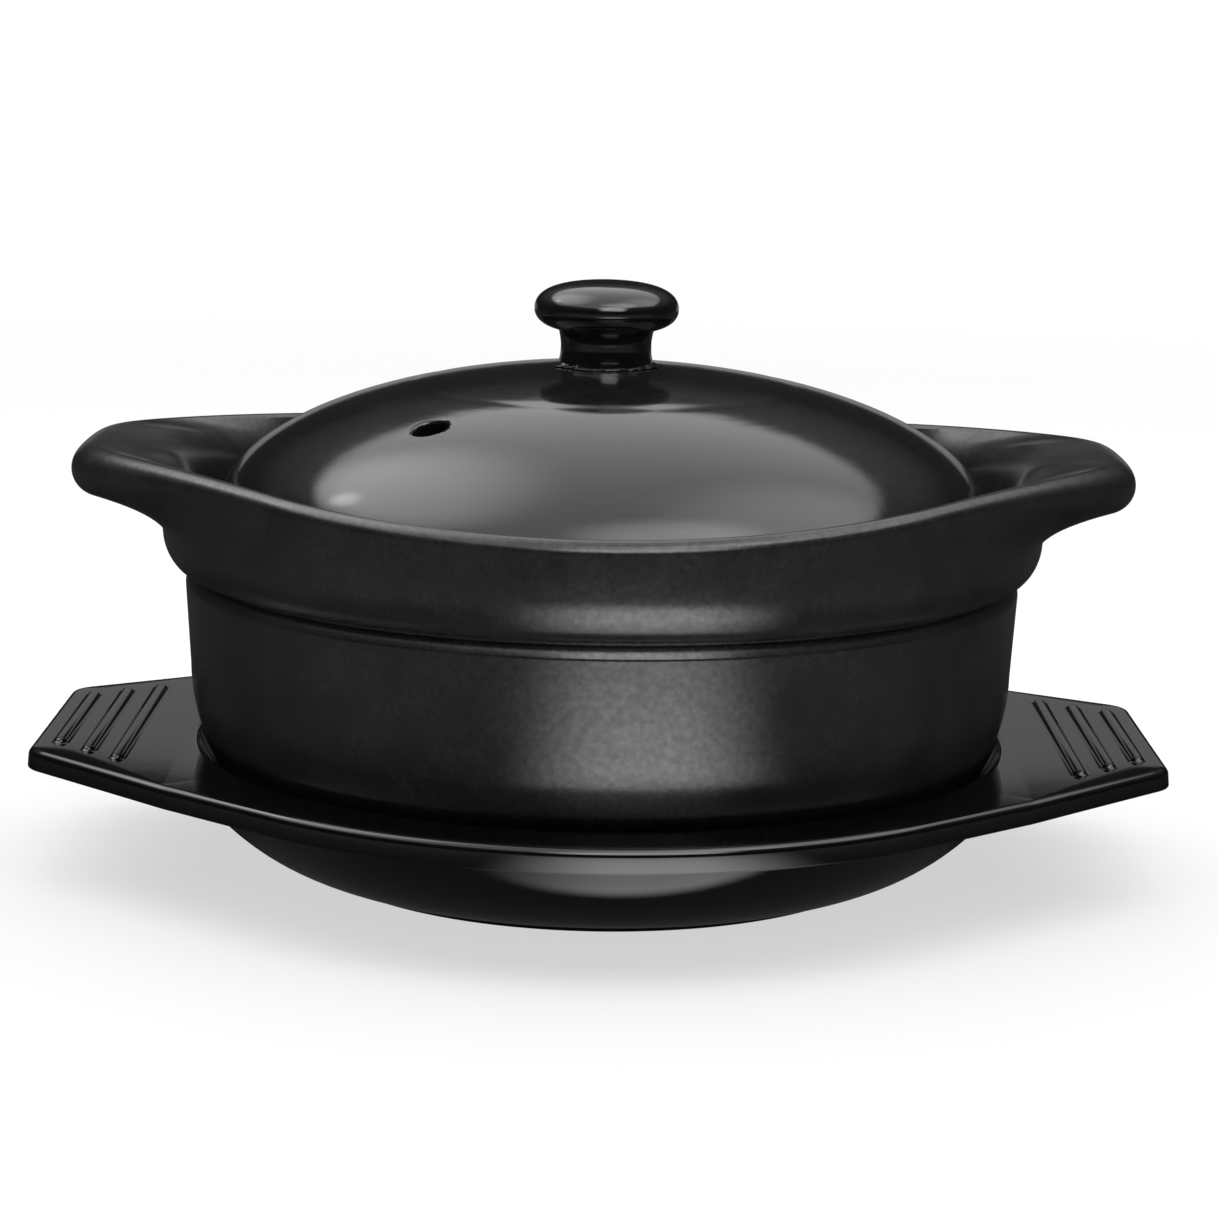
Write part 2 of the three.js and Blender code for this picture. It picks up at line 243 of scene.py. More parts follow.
class Shader:
    """Node tree of a material or a world under construction."""

    def __init__(self, owner: bpy.types.Material | bpy.types.World) -> None:
        """Starts the owner's node tree afresh.

        Args:
            owner: Material or world that the nodes belong to.
        """
        owner.use_nodes = True
        self.owner = owner
        self.tree = owner.node_tree
        self.tree.nodes.clear()

    @classmethod
    def material(cls, name: str) -> "Shader":
        """Starts a new material of that name."""
        return cls(bpy.data.materials.new(name))

    def node(
        self, kind: str, inputs: dict[str, object] | None = None, **settings: object
    ) -> bpy.types.Node:
        """Adds a node.

        Args:
            kind: Node type.
            inputs: Socket names with a value, or with the socket that feeds them.
            **settings: Node properties.

        Returns:
            The node.
        """
        made = self.tree.nodes.new(kind)
        for key, value in settings.items():
            setattr(made, key, value)
        for key, value in (inputs or {}).items():
            if isinstance(value, Socket):
                self.tree.links.new(value, made.inputs[key])
            else:
                made.inputs[key].default_value = value
        return made

    def math(self, operation: str, *values: float | Socket) -> Socket:
        """Adds a sum, product or other step on numbers and returns its result."""
        made = self.node("ShaderNodeMath", dict(enumerate(values)), operation=operation)
        return made.outputs[0]

    def spread(
        self, value: Socket, start: Point, end: Point, smooth: bool = False
    ) -> Socket:
        """Maps a value from one range to another and holds it at the ends.

        Args:
            value: Value to map.
            start: Value and result at the first end.
            end: Value and result at the other end.
            smooth: Whether the result eases in and out.

        Returns:
            The mapped value.
        """
        limits = {"From Min": start[0], "From Max": end[0], "To Min": start[1], "To Max": end[1]}
        kind = "SMOOTHSTEP" if smooth else "LINEAR"
        made = self.node("ShaderNodeMapRange", {"Value": value, **limits}, interpolation_type=kind)
        return made.outputs["Result"]

    def surface(self, socket: Socket) -> bpy.types.Material:
        """Ends the material with a surface shader and returns it."""
        self.node("ShaderNodeOutputMaterial", {"Surface": socket})
        return self.owner


@dataclass(frozen=True)
class Finish:
    """Ceramic or moulded surface: a mottled dark colour, an uneven gloss and a fine relief."""

    tones: ClassVar[Point] = (0.12, 0.42)

    name: str
    dark: Colour
    light: Colour
    mottle_size: float
    cloud_size: float
    roughness: tuple[float, float]
    relief_size: float
    relief_depth: float
    ring_size: float = 0.0
    ring_depth: float = 0.0
    sheen: tuple[float, float] = (0.5, 0.5)
    ior: float = 1.5

    def material(self) -> bpy.types.Material:
        """Makes the finish's node material.

        Returns:
            The material, which reads Object coordinates.
        """
        shader = Shader.material(self.name)
        place = shader.node("ShaderNodeTexCoord").outputs["Object"]
        mottle = self.noise(shader, place, self.mottle_size, 3.0)
        cloud = self.noise(shader, place, self.cloud_size, 2.0)
        both = shader.math("MULTIPLY", mottle, cloud)
        ramp = shader.node("ShaderNodeValToRGB", {"Fac": both})
        for stop, tone, colour in zip(ramp.color_ramp.elements, self.tones, (self.dark, self.light)):
            stop.position = tone
            stop.color = (*colour, 1.0)
        gloss = shader.spread(both, *zip(self.tones, self.roughness))
        relief = self.noise(shader, place, self.relief_size, 2.0)
        normal = self.bump(shader, relief, self.relief_depth)
        if self.ring_depth:
            rings = self.noise(shader, self.wheel(shader, place), self.ring_size, 2.0)
            normal = self.bump(shader, rings, self.ring_depth, normal)
        colour = ramp.outputs["Color"]
        inputs = {"Base Color": colour, "Roughness": gloss, "IOR": self.ior, "Normal": normal}
        if self.sheen[0] < self.sheen[1]:
            low, high = self.sheen
            inputs["Specular IOR Level"] = shader.spread(relief, (0.3, low), (0.7, high))
        surface = shader.node("ShaderNodeBsdfPrincipled", inputs)
        return shader.surface(surface.outputs["BSDF"])

    @staticmethod
    def bump(
        shader: Shader,
        height: Socket,
        depth: float,
        normal: Socket | None = None,
    ) -> Socket:
        """Adds a relief.

        Args:
            shader: Material under construction.
            height: Pattern of the relief.
            depth: Depth of the relief in metres.
            normal: Normal of a relief that lies under it.

        Returns:
            The normal with the relief.
        """
        inputs: dict[str, object] = {"Strength": 1.0, "Distance": depth, "Height": height}
        if normal:
            inputs["Normal"] = normal
        return shader.node("ShaderNodeBump", inputs).outputs["Normal"]

    @staticmethod
    def wheel(shader: Shader, place: Socket) -> Socket:
        """Coordinates that hardly change round the axis, for the rings that a potter's wheel leaves.

        Args:
            shader: Material under construction.
            place: Object coordinates.

        Returns:
            The radius and the height, with a slow drift round the axis.
        """
        flat = shader.node("ShaderNodeVectorMath", {0: place, 1: (1.0, 1.0, 0.0)}, operation="MULTIPLY")
        radius = shader.node("ShaderNodeVectorMath", {0: flat.outputs[0]}, operation="LENGTH")
        height = shader.node("ShaderNodeSeparateXYZ", {"Vector": place}).outputs["Z"]
        turned = shader.node("ShaderNodeCombineXYZ", {"X": radius.outputs["Value"], "Z": height})
        drift = shader.node(
            "ShaderNodeVectorMath",
            {0: place, 1: (0.04, 0.04, 0.0), 2: turned.outputs[0]},
            operation="MULTIPLY_ADD",
        )
        return drift.outputs[0]

    @staticmethod
    def noise(
        shader: Shader, place: Socket, size: float, detail: float
    ) -> Socket:
        """Adds a noise pattern.

        Args:
            shader: Material under construction.
            place: Coordinates that the pattern reads.
            size: Length of one wave in metres.
            detail: Octaves of finer noise.

        Returns:
            The pattern's value from 0 to 1.
        """
        made = shader.node("ShaderNodeTexNoise", {"Vector": place, "Scale": 1.0 / size, "Detail": detail})
        return made.outputs["Fac"]


STONEWARE = Finish(
    name="satin_stoneware",
    dark=(0.0105, 0.0105, 0.011),
    light=(0.0185, 0.0184, 0.0182),
    mottle_size=1.1 * MM,
    cloud_size=9.0 * MM,
    roughness=(0.2, 0.26),
    relief_size=1.4 * MM,
    relief_depth=0.02 * MM,
    sheen=(0.41, 0.59),
)
GLAZE = Finish(
    name="gloss_glaze",
    dark=(0.0055, 0.0055, 0.0058),
    light=(0.0095, 0.0094, 0.0093),
    mottle_size=2.2 * MM,
    cloud_size=16.0 * MM,
    roughness=(0.085, 0.125),
    relief_size=7.0 * MM,
    relief_depth=0.02 * MM,
    ring_size=5.0 * MM,
    ring_depth=0.05 * MM,
    ior=1.55,
)
MOULDING = Finish(
    name="gloss_moulding",
    dark=(0.002, 0.0021, 0.0022),
    light=(0.0036, 0.0036, 0.0037),
    mottle_size=1.6 * MM,
    cloud_size=30.0 * MM,
    roughness=(0.05, 0.085),
    relief_size=18.0 * MM,
    relief_depth=0.015 * MM,
)
BARE_CLAY = Finish(
    name="bare_clay",
    dark=(0.02, 0.0185, 0.017),
    light=(0.042, 0.038, 0.034),
    mottle_size=0.7 * MM,
    cloud_size=6.0 * MM,
    roughness=(0.75, 0.9),
    relief_size=0.5 * MM,
    relief_depth=0.03 * MM,
)


class Piece(ABC):
    """Smooth piece that rides on a CAD body."""

    name: ClassVar[str]
    body: ClassVar[Body]
    slot: ClassVar[Slot]
    node: ClassVar[str | None] = None
    sharp: ClassVar[float] = math.radians(22.0)
    finishes: ClassVar[tuple[Finish, ...]]

    @abstractmethod
    def build(self) -> Mesh:
        """Models the piece in the row frame and returns its mesh."""

    def dress(self, mesh: Mesh) -> bpy.types.Object:
        """Turns the mesh into a shown piece with its finishes.

        Args:
            mesh: Result of build().

        Returns:
            The object, riding on its body.
        """
        shown = linked(self.name, mesh)
        data = shown.data
        data.shade_smooth()
        data.set_sharp_from_angle(angle=self.sharp)
        for finish in self.finishes:
            data.materials.append(bpy.data.materials.get(finish.name) or finish.material())
        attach(shown, self.body.value)
        if self.node:
            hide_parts(self.node)
        LOG.info("%s: %d faces on body %s", self.name, len(data.polygons), self.body.value)
        return shown


@dataclass
class Pot(Piece):
    """Stoneware pot: rounded heel, grooved shoulder, collar, gallery and lugs swept out of the rim."""

    name: ClassVar[str] = "stoneware_pot"
    body: ClassVar[Body] = Body.POT
    slot: ClassVar[Slot] = Slot.POT
    node: ClassVar[str] = "pot"
    finishes: ClassVar[tuple[Finish, ...]] = (STONEWARE, BARE_CLAY)

    base: float = field(default_factory=lambda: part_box("pot")[0].z)
    steps: int = 480
    body_radius: float = 86.9 * MM
    draft: float = 1.0 * MM
    heel_width: float = 26.0 * MM
    heel_height: float = 32.5 * MM
    shoulder_height: float = 51.6 * MM
    shoulder_slope: Point = (1.2 * MM, 2.2 * MM)
    wall: float = 9.8 * MM
    floor_thickness: float = 7.5 * MM
    ring_width: float = 9.0 * MM
    recess: float = 1.2 * MM
    groove_depth: float = 1.5 * MM
    groove_height: float = 1.0 * MM
    collar_overhang: float = 4.7 * MM
    collar_round: float = 8.4 * MM
    rim_rise: float = 11.5 * MM
    rim_thickness: float = 5.2 * MM
    rim_lean: float = 0.45 * MM
    rim_inner_turn: float = math.radians(136.0)
    lug_reach: float = 18.15 * MM
    lug_thickness: float = 10.2 * MM
    lug_rise: float = 6.0 * MM
    lug_root_rise: float = 3.0 * MM
    lug_flank: float = math.radians(46.0)
    lug_sharpness: float = 30.0
    lug_underside_turn: float = math.radians(78.0)
    lug_inner_turn: float = math.radians(94.0)
    lug_shelf_drop: float = 1.2 * MM
    lug_hollow_round: float = 7.0 * MM
    gallery_wall: float = 8.4 * MM
    gallery_depth: float = 9.8 * MM
    gallery_flare: float = 2.6 * MM
    lip_drop: float = 2.4 * MM
    lip_round: float = 0.8 * MM
    ledge_width: float = 6.2 * MM
    edge_round: float = 1.2 * MM

    @property
    def base_radius(self) -> float:
        """Radius that the heel starts from."""
        return self.body_radius - self.draft - self.heel_width

    @property
    def collar_radius(self) -> float:
        """Radius of the collar at its widest."""
        return self.body_radius + self.collar_overhang

    @property
    def collar_top(self) -> float:
        """Height at which the collar is widest."""
        return self.base + self.shoulder_height + self.groove_height + self.collar_round

    @property
    def rim_height(self) -> float:
        """Height of the rim between the lugs."""
        return self.collar_top + self.rim_rise

    def rim_reach(self, angle: float) -> float:
        """Radius of the rim's outer edge.

        Args:
            angle: Angle round the pot from +X.

        Returns:
            The radius, larger where a lug is drawn out.
        """
        turn = math.acos(min(1.0, abs(math.cos(angle))))
        if turn >= self.lug_flank:
            return self.collar_radius
        flank = self.collar_radius / math.cos(self.lug_flank - turn)
        end = (self.collar_radius + self.lug_reach) / math.cos(turn)
        total = (flank / MM) ** -self.lug_sharpness + (end / MM) ** -self.lug_sharpness
        return total ** (-1.0 / self.lug_sharpness) * MM

    def rim_edge(self, angle: float) -> tuple[Section, float]:
        """Round edge of the rim.

        Args:
            angle: Angle round the pot from +X.

        Returns:
            The edge's points, and how far this is a lug from 0 to 1.
        """
        reach = self.rim_reach(angle)
        lug = min(1.0, (reach - self.collar_radius) / self.lug_reach)
        reach -= self.rim_lean * (1.0 - lug)
        crest = self.rim_height + self.lug_rise * math.cos(angle) ** 2
        radius = mix(self.rim_thickness, self.lug_thickness, lug) / 2.0
        inner = mix(self.rim_inner_turn, self.lug_inner_turn, lug)
        middle = (reach - radius, crest - radius)
        return arc(middle, (radius, radius), -self.lug_underside_turn * lug, inner, 22), lug

    def section(self, angle: float) -> Section:
        """Section at an angle, from the axis under the base round the rim to the axis on the floor.

        Args:
            angle: Angle round the pot from +X.

        Returns:
            The section's points, the same number at every angle.
        """
        base, collar = self.base, self.collar_radius
        heel_top = base + self.heel_height
        shoulder = base + self.shoulder_height
        groove = self.body_radius - self.groove_depth
        groove_top = shoulder + self.groove_height
        ring = self.base_radius - self.ring_width
        hollow = base + self.recess
        edge, lug = self.rim_edge(angle)
        sweep = (collar, min(self.collar_top + self.lug_root_rise, edge[0][1]))
        gallery = collar - self.gallery_wall
        ledge = self.rim_height - self.gallery_depth
        lip_height = mix(self.rim_height - self.lip_drop, edge[-1][1] - self.lug_shelf_drop, lug)
        lip = (gallery + self.gallery_flare, lip_height)
        brink_round = mix(self.lip_round, self.lug_hollow_round, lug)
        brink = softened(edge[-1], lip, (gallery, ledge), brink_round, 14)
        shelf = []
        for step in range(1, 8):
            radius, height = (mix(a, b, step / 8) for a, b in zip(edge[-1], brink[0]))
            shelf.append((radius, height))
        ledge_radius = gallery - self.ledge_width
        inner_heel = self.heel_width - self.wall
        floor = base + self.floor_thickness
        wall_foot = (self.base_radius + inner_heel, heel_top)
        inward, down = self.shoulder_slope
        brow = (self.body_radius - inward, shoulder + 0.3 * MM)
        knee = (brow[0] + 0.62 * inward, brow[1] - 0.45 * down)
        slope = bend((self.body_radius, brow[1] - down), knee, brow, 8)
        cut = (groove, shoulder + self.groove_height / 2.0)
        return [
            (0.0, hollow),
            *softened((0.0, hollow), (ring - self.recess, hollow), (ring, base), 0.5 * MM),
            *softened((ring - self.recess, hollow), (ring, base), (self.base_radius, base), 0.5 * MM),
            *arc((self.base_radius, heel_top), (self.heel_width, self.heel_height), -QUARTER, 0.0, 26),
            (self.body_radius, slope[0][1] - 0.3 * MM),
            *slope,
            *softened(brow, cut, (groove, groove_top), 0.15 * MM),
            *arc((groove, self.collar_top), (collar - groove, self.collar_round), -QUARTER, 0.0, 18),
            *bend((collar, self.collar_top), sweep, edge[0], 12)[1:-1],
            *edge,
            *shelf,
            *brink,
            *softened(lip, (gallery, ledge), (ledge_radius, ledge), self.edge_round),
            *softened((gallery, ledge), (ledge_radius, ledge), wall_foot, self.edge_round),
            *arc((self.base_radius, heel_top), (inner_heel, heel_top - floor), 0.0, -QUARTER, 18),
            (0.0, floor),
        ]

    def build(self) -> Mesh:
        """Spins the round section, then draws the rim out into the lugs.

        Returns:
            The pot's mesh, with bare clay on the ring that it stands on and on the lid's ledge.
        """
        mesh = spun(self.section(QUARTER), self.steps)
        shape_round(mesh, self.section)
        ledge = self.rim_height - self.gallery_depth
        gallery = self.collar_radius - self.gallery_wall
        for face in mesh.faces:
            middle = face.calc_center_median()
            seat = abs(middle.z - ledge) < 0.02 * MM and middle.xy.length < gallery
            if middle.z < self.base + 0.02 * MM or seat:
                face.material_index = 1
        return mesh


@dataclass
class Lid(Piece):
    """Glazed dome with a flat land at its edge and one steam hole square to its surface."""

    name: ClassVar[str] = "glazed_lid"
    body: ClassVar[Body] = Body.LID
    slot: ClassVar[Slot] = Slot.LID
    node: ClassVar[str] = "lid"
    finishes: ClassVar[tuple[Finish, ...]] = (GLAZE, BARE_CLAY)

    base: float = field(default_factory=lambda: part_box("lid")[0].z)
    top: float = field(default_factory=lambda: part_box("lid")[1].z)
    steps: int = 384
    radius: float = 81.0 * MM
    thickness: float = 5.5 * MM
    land: float = 6.0 * MM
    edge_round: float = 1.4 * MM
    wheel_mark: float = 40.3 * MM
    wheel_mark_width: float = 1.6 * MM
    wheel_mark_depth: float = 0.06 * MM
    vent_radius: float = 3.5 * MM
    vent_mouth: float = 1.1 * MM
    vent_inset: float = 26.6 * MM
    vent_angle: float = math.radians(-129.0)

    def height(self, radius: float) -> float:
        """Height of the dome's outside over a radius."""
        return self.base + (self.top - self.base) * math.sqrt(1.0 - (radius / self.radius) ** 2)

    def mark(self, radius: float) -> float:
        """Depth of the shallow ring that the potter's wheel left in the dome."""
        off = (radius - self.wheel_mark) / self.wheel_mark_width
        return self.wheel_mark_depth * math.exp(-(off**2))

    def section(self) -> Section:
        """Section from the axis inside round the edge to the axis outside.

        Returns:
            The section's points.
        """
        rise = self.top - self.base
        hollow = self.radius - self.land
        start = math.asin(self.edge_round / rise)
        outside = arc((0.0, self.base), (self.radius, rise), start, QUARTER, 150)
        outside = [(radius, height - self.mark(radius)) for radius, height in outside]
        return [
            *arc((0.0, self.base), (hollow, rise - self.thickness), QUARTER, 0.03, 36),
            *softened((hollow, self.base + MM), (hollow, self.base), (self.radius, self.base), 0.5 * MM),
            *bend((self.radius - self.edge_round, self.base), (self.radius, self.base), outside[0], 6),
            *outside[1:],
        ]

    def drill(self) -> bpy.types.Object:
        """Cutter of the steam hole, with a rounded mouth.

        Returns:
            The cutter, standing square to the dome.
        """
        hole, mouth, depth = self.vent_radius, self.vent_mouth, 9.0 * MM
        flare = bend((hole, -mouth), (hole, 0.0), (hole + 1.5 * mouth, 0.1 * mouth), 8)
        mesh = spun([(0.0, -depth), (hole, -depth), *flare, (hole + 1.5 * mouth, depth), (0.0, depth)], 64)
        across = self.radius - self.vent_inset
        run = self.radius * math.sqrt(self.radius**2 - across**2)
        slope = math.atan2((self.top - self.base) * across, run)
        lean = Matrix.Translation((across, 0.0, self.height(across))) @ Matrix.Rotation(slope, 4, "Y")
        mesh.transform(Matrix.Rotation(self.vent_angle, 4, "Z") @ lean)
        return linked("vent_drill", mesh)

    def build(self) -> Mesh:
        """Spins the dome, marks its bare land and drills the steam hole.

        Returns:
            The lid's mesh.
        """
        mesh = spun(self.section(), self.steps)
        for face in mesh.faces:
            if face.calc_center_median().z < self.base + 0.02 * MM:
                face.material_index = 1
        dome = linked("dome", mesh)
        cutter = self.drill()
        cut = dome.modifiers.new("vent", "BOOLEAN")
        cut.operation = "DIFFERENCE"
        cut.solver = "EXACT"
        cut.object = cutter
        drilled = dome.evaluated_get(bpy.context.evaluated_depsgraph_get()).to_mesh()
        vented = bmesh.new()
        vented.from_mesh(drilled)
        for spent in (dome, cutter):
            bpy.data.meshes.remove(spent.data)
        return vented


@dataclass
class Knob(Piece):
    """Mushroom knob that is luted on the dome."""

    name: ClassVar[str] = "mushroom_knob"
    body: ClassVar[Body] = Body.LID
    slot: ClassVar[Slot] = Slot.KNOB
    node: ClassVar[str] = "knob"
    finishes: ClassVar[tuple[Finish, ...]] = (GLAZE,)

    lid: Lid = field(default_factory=Lid)
    top: float = field(default_factory=lambda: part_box("knob")[1].z)
    steps: int = 160
    gap: float = 0.3 * MM
    head_radius: float = 15.0 * MM
    neck_radius: float = 9.4 * MM
    neck_flare: float = 0.5 * MM
    neck_height: float = 7.2 * MM
    undercut: float = 4.4 * MM
    undercut_sweep: float = 1.2 * MM

    @property
    def foot_radius(self) -> float:
        """Radius of the neck where it meets the dome."""
        return self.neck_radius + self.neck_flare

    def build(self) -> Mesh:
        """Spins the knob's section.

        Returns:
            The knob's mesh.
        """
        foot, head = self.foot_radius, self.head_radius
        foot_height = self.lid.height(foot) + self.gap
        neck_top = self.lid.top + self.neck_height
        waist = neck_top + self.undercut
        pinch = (self.neck_radius - self.neck_flare, self.lid.top + self.neck_height / 2.0)
        section = [
            (0.0, self.lid.top + self.gap),
            *softened((0.0, foot_height), (foot, foot_height), pinch, 0.3 * MM, 3),
            *bend((foot, foot_height + self.gap), pinch, (foot, neck_top), 16)[1:],
            *bend((foot, neck_top), (head, neck_top + self.undercut_sweep), (head, waist), 18)[1:],
            *bend((head, waist), (head, self.top), (0.0, self.top), 36)[1:],
        ]
        return spun(section, self.steps)


@dataclass
class GlazeSeam(Piece):
    """Uneven bead of slip and glaze that joins the knob to the dome."""

    name: ClassVar[str] = "glaze_seam"
    body: ClassVar[Body] = Body.LID
    slot: ClassVar[Slot] = Slot.KNOB
    finishes: ClassVar[tuple[Finish, ...]] = (GLAZE,)

    knob: Knob = field(default_factory=Knob)
    steps: int = 300
    rise: float = 1.5 * MM
    spread: float = 1.3 * MM
    roll: float = 0.2 * MM
    sink: float = 0.5 * MM

    @staticmethod
    def unevenness(angle: float) -> float:
        """Hand-made waver of the bead.

        Args:
            angle: Angle round the knob from +X.

        Returns:
            The waver, from about -1 to 1.
        """
        waves = ((0.45, 3, 0.7), (0.3, 7, 2.1), (0.25, 11, 0.4), (0.2, 23, 1.3))
        notches = (
            (-1.66, 0.07, 1.3),
            (-1.2, 0.05, 0.9),
            (-2.3, 0.09, 0.8),
            (0.4, 0.06, 1.1),
            (2.0, 0.1, 1.0),
        )
        even = sum(size * math.sin(count * angle + start) for size, count, start in waves)
        return even - sum(size * math.exp(-(((angle - at) / wide) ** 2)) for at, wide, size in notches)

    def section(self, angle: float) -> Section:
        """Closed section of the bead at an angle.

        Args:
            angle: Angle round the knob from +X.

        Returns:
            The section's points, the same number at every angle.
        """
        waver = self.unevenness(angle)
        foot = self.knob.foot_radius
        inner = foot - 1.0 * MM
        tip = foot + self.spread * (1.0 + 0.45 * waver)
        ground = self.knob.lid.height
        crest = ground(foot) + self.rise * (1.0 + 0.25 * waver)
        start = (inner + 0.3 * MM, crest)
        middle = (tip - self.roll, ground(tip) + self.roll)
        shelf = (tip - self.roll, ground(tip) + 2.0 * self.roll)
        return [
            *bend(start, (foot + 0.1 * MM, ground(foot) + 1.6 * self.roll), shelf, 8),
            *arc(middle, (self.roll, self.roll), QUARTER, -0.6 * QUARTER, 6)[1:],
            (tip - self.roll, ground(tip) - self.sink),
            (inner, ground(inner) - self.sink),
        ]

    def build(self) -> Mesh:
        """Spins the bead, then moves it on to its uneven section.

        Returns:
            The bead's mesh.
        """
        mesh = spun(self.section(0.0), self.steps, closed=True)
        shape_round(mesh, self.section)
        return mesh


@dataclass
class Tray(Piece):
    """Gloss serving tray: winged flange with ribbed grips, well for the pot, bowl on a foot ring."""

    name: ClassVar[str] = "serving_tray"
    body: ClassVar[Body] = Body.TRAY
    slot: ClassVar[Slot] = Slot.TRAY
    node: ClassVar[str] = "tray"
    finishes: ClassVar[tuple[Finish, ...]] = (MOULDING,)

    pot: Pot = field(default_factory=Pot)
    half_length: float = field(default_factory=lambda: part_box("tray")[1].x)
    flange_radius: float = field(default_factory=lambda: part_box("tray")[1].y)
    steps: int = 720
    height: float = 26.8 * MM
    floor: float = 10.0 * MM
    floor_thickness: float = 4.2 * MM
    wall: float = 5.0 * MM
    clearance: float = 2.6 * MM
    lip_round: float = 1.2 * MM
    flange_width: float = 13.8 * MM
    flange_thickness: float = 5.0 * MM
    wing_thickness: float = 4.2 * MM
    flange_round: float = 1.7 * MM
    flange_foot_round: float = 0.4 * MM
    flange_lean: float = 0.18 * MM
    wing_flank: float = math.radians(50.0)
    wing_corner: float = 7.0 * MM
    wing_lift: float = 1.2 * MM
    belly_width: float = 17.0 * MM
    belly_height: float = 3.0 * MM
    foot_inset: float = 0.9 * MM
    foot_width: float = 5.0 * MM
    foot_round: float = 1.0 * MM
    rib_count: int = 3
    rib_pitch: float = 6.6 * MM
    rib_width: float = 2.8 * MM
    rib_height: float = 0.9 * MM
    rib_flare: float = 0.55 * MM
    rib_end_margin: float = 6.0 * MM
    rib_flank_margin: float = 11.2 * MM

    @property
    def well_radius(self) -> float:
        """Radius of the well at its mouth."""
        return self.flange_radius - self.flange_width

    @property
    def wing_start(self) -> float:
        """Distance along X at which the wings begin to turn up."""
        return self.well_radius + self.lip_round

    def lift(self, x: float) -> float:
        """How far the wings are turned up at a distance along the tray."""
        return self.wing_lift * max(0.0, (abs(x) - self.wing_start) / (self.half_length - self.wing_start))

    def reach(self, angle: float) -> float:
        """Radius of the flange's edge in plan.

        Args:
            angle: Angle round the tray from +X.

        Returns:
            The radius, larger where a wing is.
        """
        turn = math.acos(min(1.0, abs(math.cos(angle))))
        if turn >= self.wing_flank:
            return self.flange_radius
        corner = self.wing_corner
        across = self.half_length - corner
        along = self.flange_radius - corner - across * math.cos(self.wing_flank)
        along /= math.sin(self.wing_flank)
        first = math.atan2(along, across + corner)
        last = math.atan2(
            along + corner * math.sin(self.wing_flank),
            across + corner * math.cos(self.wing_flank),
        )
        if turn <= first:
            return self.half_length / math.cos(turn)
        if turn >= last:
            return self.flange_radius / math.cos(self.wing_flank - turn)
        offset = across * math.sin(turn) - along * math.cos(turn)
        return across * math.cos(turn) + along * math.sin(turn) + math.sqrt(corner**2 - offset**2)

    def underside(self, angle: float) -> float:
        """Height of the flange's underside, which is thinner towards the wings."""
        return self.height - mix(self.flange_thickness, self.wing_thickness, math.cos(angle) ** 2)

    def flange(self, angle: float) -> Section:
        """Flange's section at an angle, from the bowl round the edge to the well's lip.

        Args:
            angle: Angle round the tray from +X.

        Returns:
            The section's points with the wing's lift.
        """
        bottom, radius, under = self.underside(angle), self.flange_round, self.flange_foot_round
        flat = self.reach(angle) - self.flange_lean - radius
        foot = flat + radius + self.flange_lean - under
        root = self.well_radius + self.wall
        brow = self.wing_start + 0.4 * MM
        crease = min(flat - 0.4 * MM, max(brow, self.wing_start / max(1e-6, abs(math.cos(angle)))))
        rings = [mix(flat, crease, share) for share in (0.25, 0.5, 0.75, 0.95, 1.0)]
        points = [
            *((mix(root, flat, share), bottom) for share in (0.1, 0.3, 0.6, 0.9)),
            *arc((foot, bottom + under), (under, under), -QUARTER, 0.0, 9),
            *arc((flat, self.height - radius), (radius, radius), 0.0, QUARTER, 9),
            *((ring, self.height) for ring in rings),
            (brow, self.height),
        ]
        return [(r, z + self.lift(r * math.cos(angle))) for r, z in points]

    def section(self, angle: float) -> Section:
        """Section at an angle, from the axis in the foot recess round the flange to the axis in the well.

        Args:
            angle: Angle round the tray from +X.

        Returns:
            The section's points, the same number at every angle.
        """
        pot = self.pot
        foot = pot.base_radius - self.foot_inset
        bore = foot - self.foot_width
        recess = self.floor - self.floor_thickness
        edge = (self.well_radius + self.wall, self.underside(angle))
        heel_top = pot.base + pot.heel_height
        rise = heel_top - self.floor
        lip = self.height - self.lip_round
        end = math.asin(min(1.0, (lip - self.floor) / rise) - 1.0)
        well = arc((pot.base_radius, heel_top), (pot.heel_width + self.clearance, rise), end, -QUARTER, 20)
        mouth = (self.well_radius + self.lip_round, self.height)
        belly = (foot + self.belly_width, self.belly_height)
        return [
            (0.0, recess),
            *softened((0.0, recess), (bore, recess), (bore, 0.0), self.foot_round),
            *softened((bore, recess), (bore, 0.0), (foot, 0.0), self.foot_round),
            *softened((bore, 0.0), (foot, 0.0), belly, self.foot_round),
            *bend((foot, self.foot_round), belly, edge, 28)[1:],
            *self.flange(angle),
            *bend(mouth, (self.well_radius, self.height), well[0], 6)[:-1],
            *well,
            (0.0, self.floor),
        ]

    def add_ribs(self, mesh: Mesh) -> None:
        """Adds the raised grip ribs across both wings.

        Args:
            mesh: The tray's mesh.
        """
        half, crest = self.rib_width / 2.0, self.rib_height
        side = (0.86 * half, 0.5 * crest)
        skirt = half + self.rib_flare
        section = [
            (0.0, crest),
            *bend((0.25 * half, crest), (0.7 * half, crest), side, 7),
            *bend(side, (1.05 * half, 0.02 * MM), (skirt, 0.02 * MM), 7)[1:],
            (skirt, -crest),
            (0.0, -crest),
        ]
        for number in range(self.rib_count):
            x = self.half_length - self.rib_end_margin - number * self.rib_pitch
            flank = (self.flange_radius - x * math.cos(self.wing_flank)) / math.sin(self.wing_flank)
            stretch = flank - self.rib_flank_margin - half
            for wing in (-1.0, 1.0):
                rib = spun(section, 64)
                for vert in rib.verts:
                    vert.co.y += math.copysign(stretch, vert.co.y - 1e-6)
                    vert.co.x += wing * x
                    vert.co.z += self.height + self.lift(vert.co.x)
                data = bpy.data.meshes.new("rib")
                rib.to_mesh(data)
                rib.free()
                mesh.from_mesh(data)
                bpy.data.meshes.remove(data)

